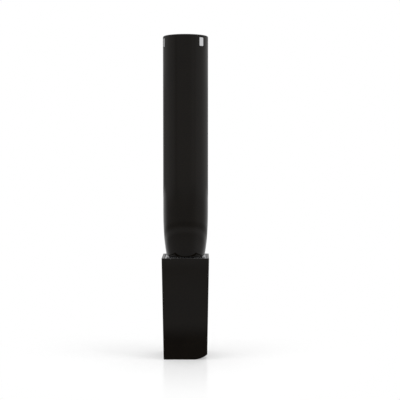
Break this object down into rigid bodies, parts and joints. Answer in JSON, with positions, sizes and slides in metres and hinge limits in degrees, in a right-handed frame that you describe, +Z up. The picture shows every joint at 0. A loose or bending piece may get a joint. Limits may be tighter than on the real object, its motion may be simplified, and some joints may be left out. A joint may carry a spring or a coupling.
{
  "type": "lipstick case",
  "caption": "Slim twist-feed lip colour case: tapered square cap, round barrel, and a chrome square head with a ball tip between them; it stands on its cap.",
  "frame": {"origin": "centre of the cap's closed end, on the surface that the case stands on", "axes": "+Z up the case from the cap to the barrel's top; +X towards the side where the cap's closed end curves up; the front faces -Y"},
  "size_m": [0.0198, 0.0198, 0.135],
  "materials": {
    "gloss_black": "high-gloss black lacquer",
    "inner_black": "moulded satin black",
    "soft_seal": "soft natural elastomer",
    "chrome": "mirror chrome plate",
    "natural_plastic": "moulded natural plastic",
    "clear_plastic": "clear moulded plastic",
    "seal_rubber": "black seal rubber",
    "spring_steel": "spring steel"
  },
  "bodies": {
    "cap": {"cap_shell": "gloss_black", "cap_liner": "inner_black", "tip_seal": "soft_seal"},
    "head": {"collar": "chrome", "neck_shroud": "chrome", "feed_tube": "natural_plastic", "applicator_tip": "chrome", "tip_o_ring": "seal_rubber", "reservoir": "clear_plastic", "reservoir_o_ring": "seal_rubber", "rod_guide": "natural_plastic", "click_ring": "natural_plastic", "retaining_ring": "spring_steel"},
    "barrel": {"barrel_shell": "gloss_black", "barrel_bush": "inner_black", "barrel_carrier": "natural_plastic", "drive_nut": "natural_plastic", "end_plug": "chrome", "end_disc": "gloss_black"},
    "plunger": {"piston_rod": "natural_plastic", "piston": "natural_plastic", "piston_seal": "seal_rubber"}
  },
  "joints": [
    {"name": "cap_pull", "type": "slide", "parent": "cap", "child": "head", "axis": [0, 0, 1], "range_m": [0, 0.045]},
    {"name": "barrel_turn", "type": "hinge", "parent": "head", "child": "barrel", "pos_m": [0, 0, 0.0429], "axis": [0, 0, 1], "range_deg": [0, 3375]},
    {"name": "piston_feed", "type": "slide", "parent": "head", "child": "plunger", "axis": [0, 0, -1], "range_m": [0, 0.03]}
  ],
  "couplings": [
    {"joint": "piston_feed", "follows": "barrel_turn", "m_per_rad": 0.00050929}
  ]
}
